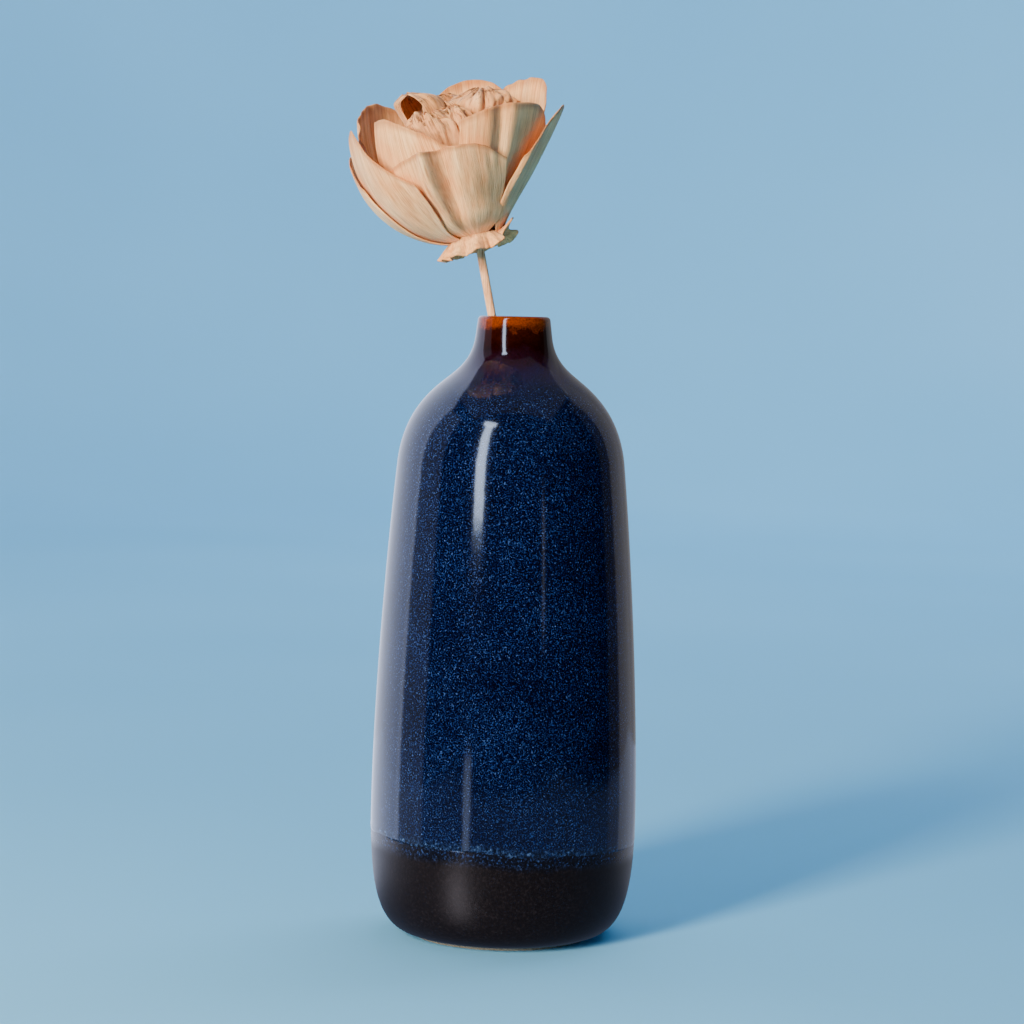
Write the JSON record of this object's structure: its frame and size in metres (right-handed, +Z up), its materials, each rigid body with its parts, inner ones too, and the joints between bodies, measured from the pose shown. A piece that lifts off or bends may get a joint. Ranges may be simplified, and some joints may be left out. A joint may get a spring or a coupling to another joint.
{
  "type": "ceramic bud vase",
  "caption": "Slim-necked glazed stoneware bud vase holding one dried pith flower on a leaning reed stem that lifts out.",
  "frame": {"origin": "middle of the vase's flat clay foot, on the vase's axis", "axes": "+Z up along the vase's axis; -X is the side that the reed leans to at the mouth; -Y is the front"},
  "size_m": [0.1046, 0.0932, 0.2982],
  "materials": {
    "stoneware_clay": "bare fired clay, dry and slightly gritty",
    "speckled_blue_glaze": "glossy deep blue speckled with light blue and black, breaking to brown and amber at the lip",
    "charcoal_glaze": "satin charcoal",
    "brown_lining_glaze": "glossy dark brown",
    "dried_reed": "pale dried reed with fine lengthwise grooves",
    "pith_core": "cut pith, matte",
    "cotton_thread": "twisted cotton, matte",
    "pith_sheet": "shaved pith sheet, matte, fine striations",
    "pith_sheet_inner": "shaved pith sheet, warmer and crumpled, with flecks of bark"
  },
  "bodies": {
    "vase": {"stoneware_body": "stoneware_clay", "blue_glaze": "speckled_blue_glaze", "charcoal_glaze": "charcoal_glaze", "lining_glaze": "brown_lining_glaze"},
    "stem": {"reed_stem": "dried_reed"},
    "flower_head": {"flower_core": "pith_core", "binding_thread": "cotton_thread", "pleated_ruff": "pith_sheet", "rolled_heart": "pith_sheet_inner", "outer_petal_1": "pith_sheet", "outer_petal_2": "pith_sheet", "outer_petal_3": "pith_sheet", "outer_petal_4": "pith_sheet", "outer_petal_5": "pith_sheet", "outer_petal_6": "pith_sheet", "middle_petal_1": "pith_sheet", "middle_petal_2": "pith_sheet", "middle_petal_3": "pith_sheet", "middle_petal_4": "pith_sheet", "middle_petal_5": "pith_sheet", "inner_petal_1": "pith_sheet_inner", "inner_petal_2": "pith_sheet_inner", "inner_petal_3": "pith_sheet_inner", "heart_petal_1": "pith_sheet_inner", "heart_petal_2": "pith_sheet_inner", "heart_petal_3": "pith_sheet_inner"}
  },
  "joints": [
    {"name": "stem_lift", "type": "slide", "parent": "vase", "child": "stem", "axis": [-0.1994, 0, 0.9799], "range_m": [0, 0.23]},
    {"name": "flower_turn", "type": "hinge", "parent": "stem", "child": "flower_head", "pos_m": [-0.01341, 0, 0.2446], "axis": [-0.1994, 0, 0.9799], "continuous": true}
  ]
}
